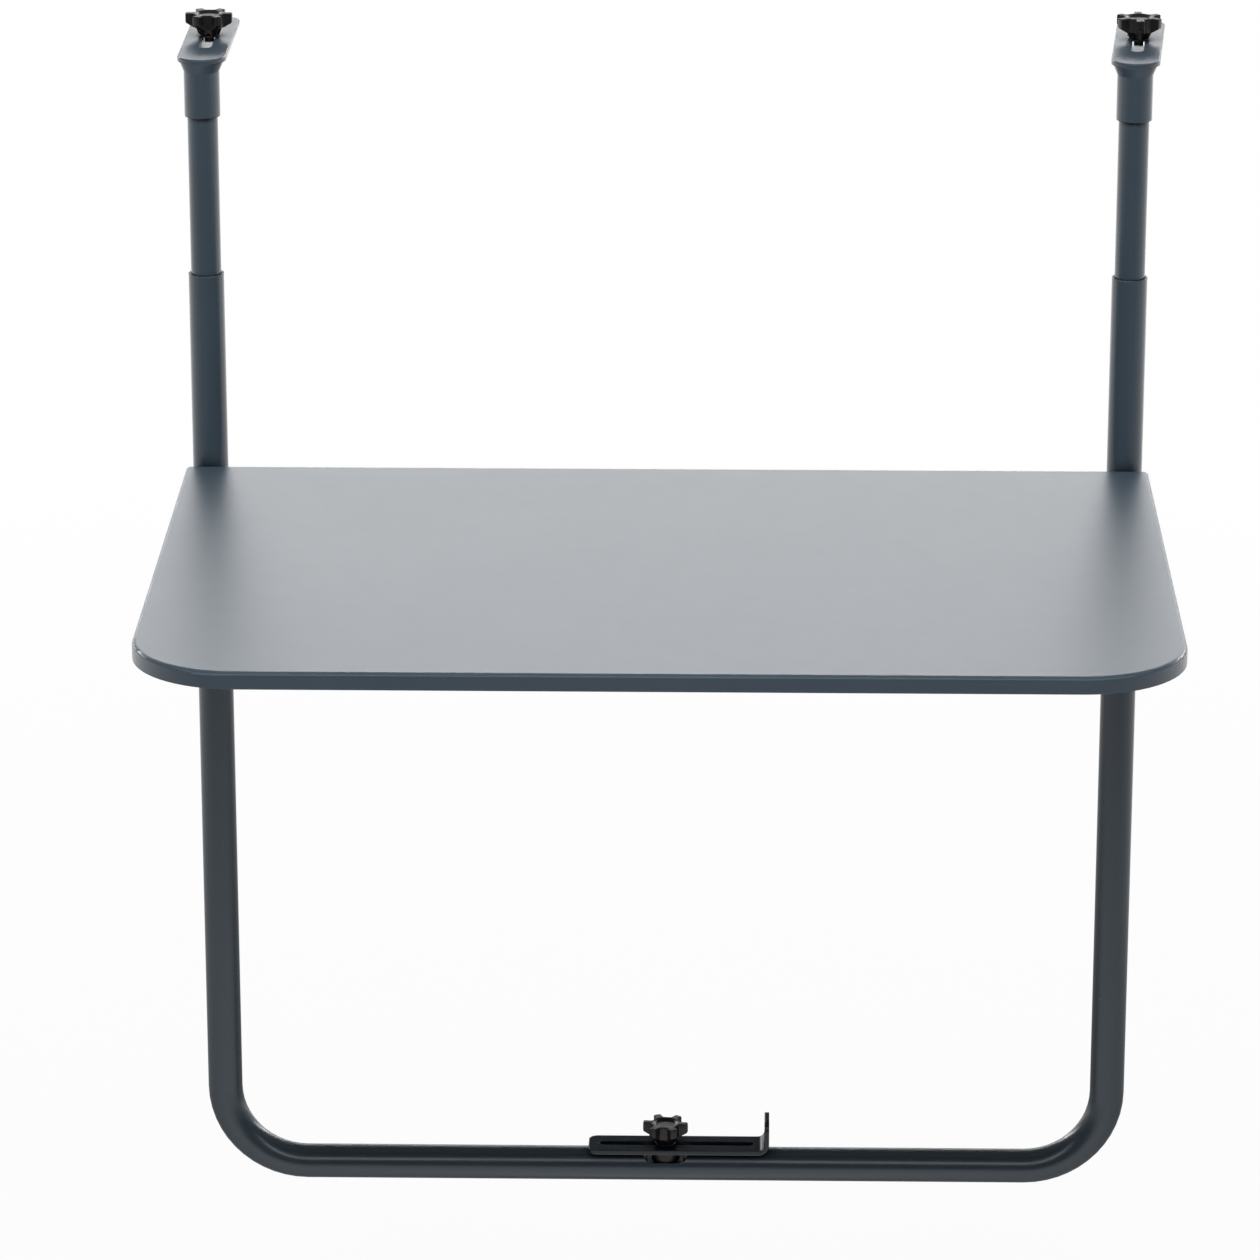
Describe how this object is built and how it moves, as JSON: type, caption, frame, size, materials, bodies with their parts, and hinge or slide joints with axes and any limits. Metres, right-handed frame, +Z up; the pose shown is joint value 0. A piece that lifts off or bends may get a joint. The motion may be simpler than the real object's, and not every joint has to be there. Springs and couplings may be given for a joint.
{
  "type": "folding balcony table",
  "caption": "Steel table that hangs on a balcony railing, with a fold-down rectangular top on a bent tube frame, telescopic hooks, star knobs and a lower bracket.",
  "frame": {"origin": "midway between the two hooks, on the undersides of their plates, where they lie on the handrail", "axes": "+X along the railing to the user's right, +Y from the user to the railing, +Z up"},
  "size_m": [0.6119, 0.5266, 0.7607],
  "materials": {
    "slate_coat": "satin powder coat",
    "black_plastic": "satin",
    "nylon": "matt",
    "zinc_steel": "zinc plated",
    "dark_steel": "blackened"
  },
  "bodies": {
    "frame": {"u_frame": "slate_coat", "left_post_lug": "slate_coat", "right_post_lug": "slate_coat", "left_stay_bush": "nylon", "right_stay_bush": "nylon", "height_lock_nuts": "zinc_steel", "height_lock_screws": "zinc_steel", "bracket_rivet_nut": "dark_steel"},
    "tabletop": {"tabletop": "slate_coat", "top_stiffener": "slate_coat", "left_hinge_bracket": "slate_coat", "right_hinge_bracket": "slate_coat", "left_stay_catch": "slate_coat", "right_stay_catch": "slate_coat", "hinge_bolts": "zinc_steel", "hinge_nuts": "zinc_steel", "hinge_washers": "nylon"},
    "stay": {"support_stay": "slate_coat"},
    "bracket_guide": {"bracket_washer": "dark_steel"},
    "bracket": {"rail_bracket": "slate_coat"},
    "bracket_knob": {"bracket_knob": "black_plastic", "bracket_stud": "dark_steel"},
    "left_tube": {"left_inner_tube": "slate_coat"},
    "left_hook": {"left_hook": "slate_coat", "left_hook_keeper": "zinc_steel"},
    "left_clamp": {"left_clamp_nut": "zinc_steel", "left_clamp_washer": "dark_steel"},
    "left_knob": {"left_hook_knob": "black_plastic", "left_knob_stud": "dark_steel"},
    "right_tube": {"right_inner_tube": "slate_coat"},
    "right_hook": {"right_hook": "slate_coat", "right_hook_keeper": "zinc_steel"},
    "right_clamp": {"right_clamp_nut": "zinc_steel", "right_clamp_washer": "dark_steel"},
    "right_knob": {"right_hook_knob": "black_plastic", "right_knob_stud": "dark_steel"}
  },
  "joints": [
    {"name": "top_fold", "type": "hinge", "parent": "frame", "child": "tabletop", "pos_m": [0, -0.022, -0.2745], "axis": [1, 0, 0], "range_deg": [0, 90]},
    {"name": "stay_fold", "type": "hinge", "parent": "frame", "child": "stay", "pos_m": [0, 0, -0.385], "axis": [1, 0, 0], "range_deg": [0, 119.82]},
    {"name": "left_height", "type": "slide", "parent": "frame", "child": "left_tube", "axis": [0, 0, 1], "range_m": [-0.097, 0.06]},
    {"name": "right_height", "type": "slide", "parent": "frame", "child": "right_tube", "axis": [0, 0, 1], "range_m": [-0.097, 0.06]},
    {"name": "left_hook_swivel", "type": "hinge", "parent": "left_tube", "child": "left_hook", "pos_m": [-0.286, 0, 0], "axis": [0, 0, 1], "range_deg": [-15, 15]},
    {"name": "right_hook_swivel", "type": "hinge", "parent": "right_tube", "child": "right_hook", "pos_m": [0.286, 0, 0], "axis": [0, 0, 1], "range_deg": [-9.5, 20.5]},
    {"name": "left_clamp_slide", "type": "slide", "parent": "left_hook", "child": "left_clamp", "axis": [0, 1, 0], "range_m": [-0.03, 0.039]},
    {"name": "right_clamp_slide", "type": "slide", "parent": "right_hook", "child": "right_clamp", "axis": [0.0958, 0.9954, 0], "range_m": [-0.03, 0.039]},
    {"name": "left_knob_turn", "type": "hinge", "parent": "left_clamp", "child": "left_knob", "pos_m": [-0.286, 0.057, 0], "axis": [0, 0, 1], "continuous": true},
    {"name": "right_knob_turn", "type": "hinge", "parent": "right_clamp", "child": "right_knob", "pos_m": [0.29146, 0.05674, 0], "axis": [0, 0, 1], "continuous": true},
    {"name": "bracket_turn", "type": "hinge", "parent": "frame", "child": "bracket_guide", "pos_m": [0, 0, -0.721], "axis": [0, 0, 1], "continuous": true},
    {"name": "bracket_slide", "type": "slide", "parent": "bracket_guide", "child": "bracket", "axis": [1, 0, 0], "range_m": [-0.048, 0.039]},
    {"name": "bracket_knob_turn", "type": "hinge", "parent": "frame", "child": "bracket_knob", "pos_m": [0, 0, -0.721], "axis": [0, 0, 1], "continuous": true}
  ],
  "couplings": [
    {"joint": "stay_fold", "follows": "top_fold", "ratio": 1.3313},
    {"joint": "right_height", "follows": "left_height", "ratio": 1}
  ]
}
